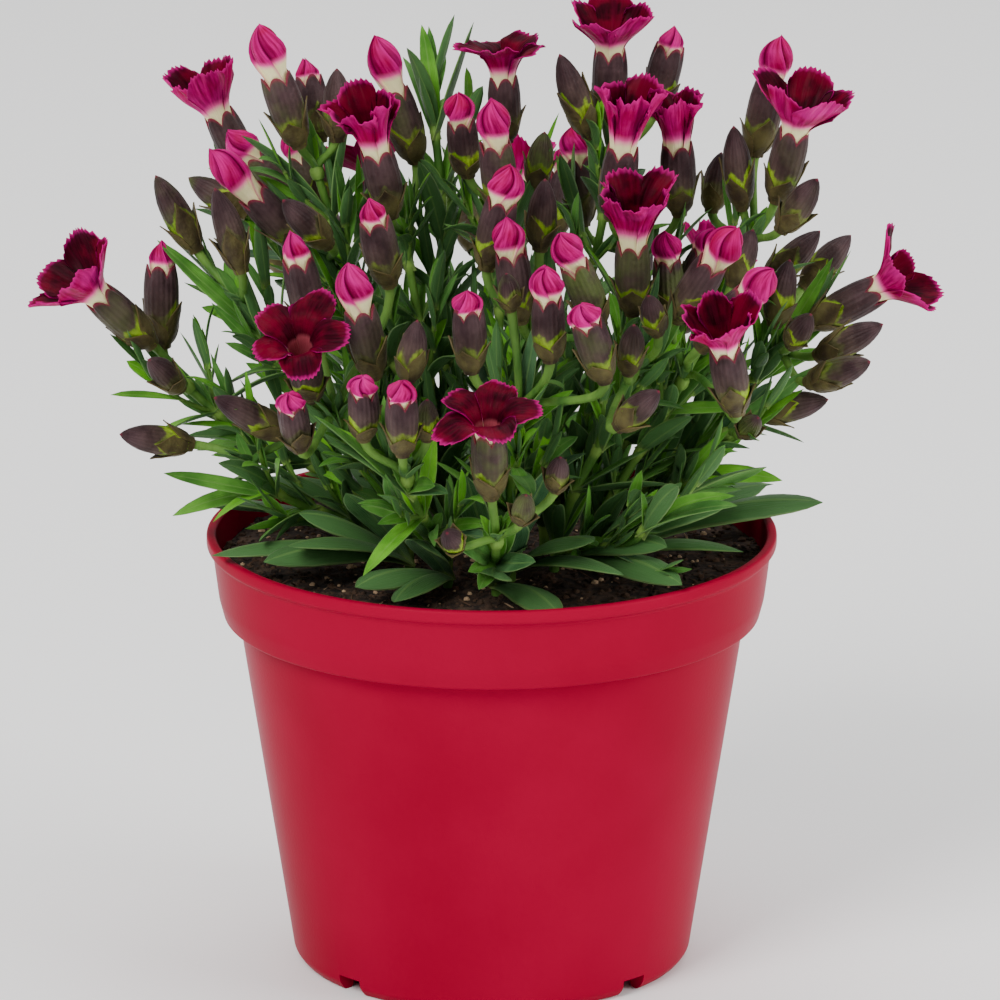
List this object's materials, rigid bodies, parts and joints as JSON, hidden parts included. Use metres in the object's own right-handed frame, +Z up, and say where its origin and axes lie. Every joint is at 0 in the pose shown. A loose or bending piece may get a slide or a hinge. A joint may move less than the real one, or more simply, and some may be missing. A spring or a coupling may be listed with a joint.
{
  "type": "dianthus plant in its pot",
  "caption": "Low bushy flowering plant with narrow paired leaves, ribbed calyces and toothed petals, growing in a round tapered plastic nursery pot that stands on its foot ring.",
  "frame": {"origin": "middle of the pot's underside, on the surface it stands on", "axes": "+Z up along the pot's axis; +X to the right and +Y away from the side of the plant that the picture shows"},
  "size_m": [0.1908, 0.1638, 0.2063],
  "materials": {
    "pot_plastic": "satin, moulded",
    "peat": "loose and crumbly, matt",
    "leaf": "waxy, matt",
    "calyx": "ribbed, matt",
    "petal": "thin, soft sheen"
  },
  "bodies": {
    "root": {"pot": "pot_plastic", "soil": "peat", "heads_back": "calyx", "heads_back_left": "calyx", "heads_back_right": "calyx", "heads_far_left": "calyx", "heads_far_right": "calyx", "heads_front": "calyx", "heads_front_left": "calyx", "heads_front_mid": "calyx", "heads_high_left": "calyx", "heads_high_mid": "calyx", "heads_high_right": "calyx", "heads_low_left": "calyx", "heads_low_right": "calyx", "heads_mid": "calyx", "heads_mid_high": "calyx", "heads_mid_left": "calyx", "heads_mid_right": "calyx", "heads_right_front": "calyx", "heads_top": "calyx", "heads_top_left": "calyx", "heads_top_right": "calyx", "heads_upper_left": "calyx", "heads_upper_right": "calyx", "petals_back_1": "petal", "petals_back_left_1": "petal", "petals_back_right_1": "petal", "petals_far_left_1": "petal", "petals_far_right_1": "petal", "petals_front_1": "petal", "petals_front_left_2": "petal", "petals_high_left_1": "petal", "petals_high_mid_2": "petal", "petals_high_mid_3": "petal", "petals_high_right_1": "petal", "petals_mid_right_1": "petal", "petals_right_front_5": "petal", "petals_top_1": "petal", "petals_top_right_1": "petal", "petals_upper_right_1": "petal", "petals_upper_right_2": "petal", "stem_back": "leaf", "stem_back_left": "leaf", "stem_front": "leaf", "stem_front_left": "leaf", "stem_front_mid": "leaf", "stem_high_right": "leaf", "stem_inner_left": "leaf", "stem_left": "leaf", "stem_mid": "leaf", "stem_mid_high": "leaf", "stem_mid_right": "leaf", "stem_right": "leaf", "stem_right_front": "leaf", "stem_top": "leaf", "stem_top_left": "leaf", "stem_top_right": "leaf"}
  },
  "joints": []
}
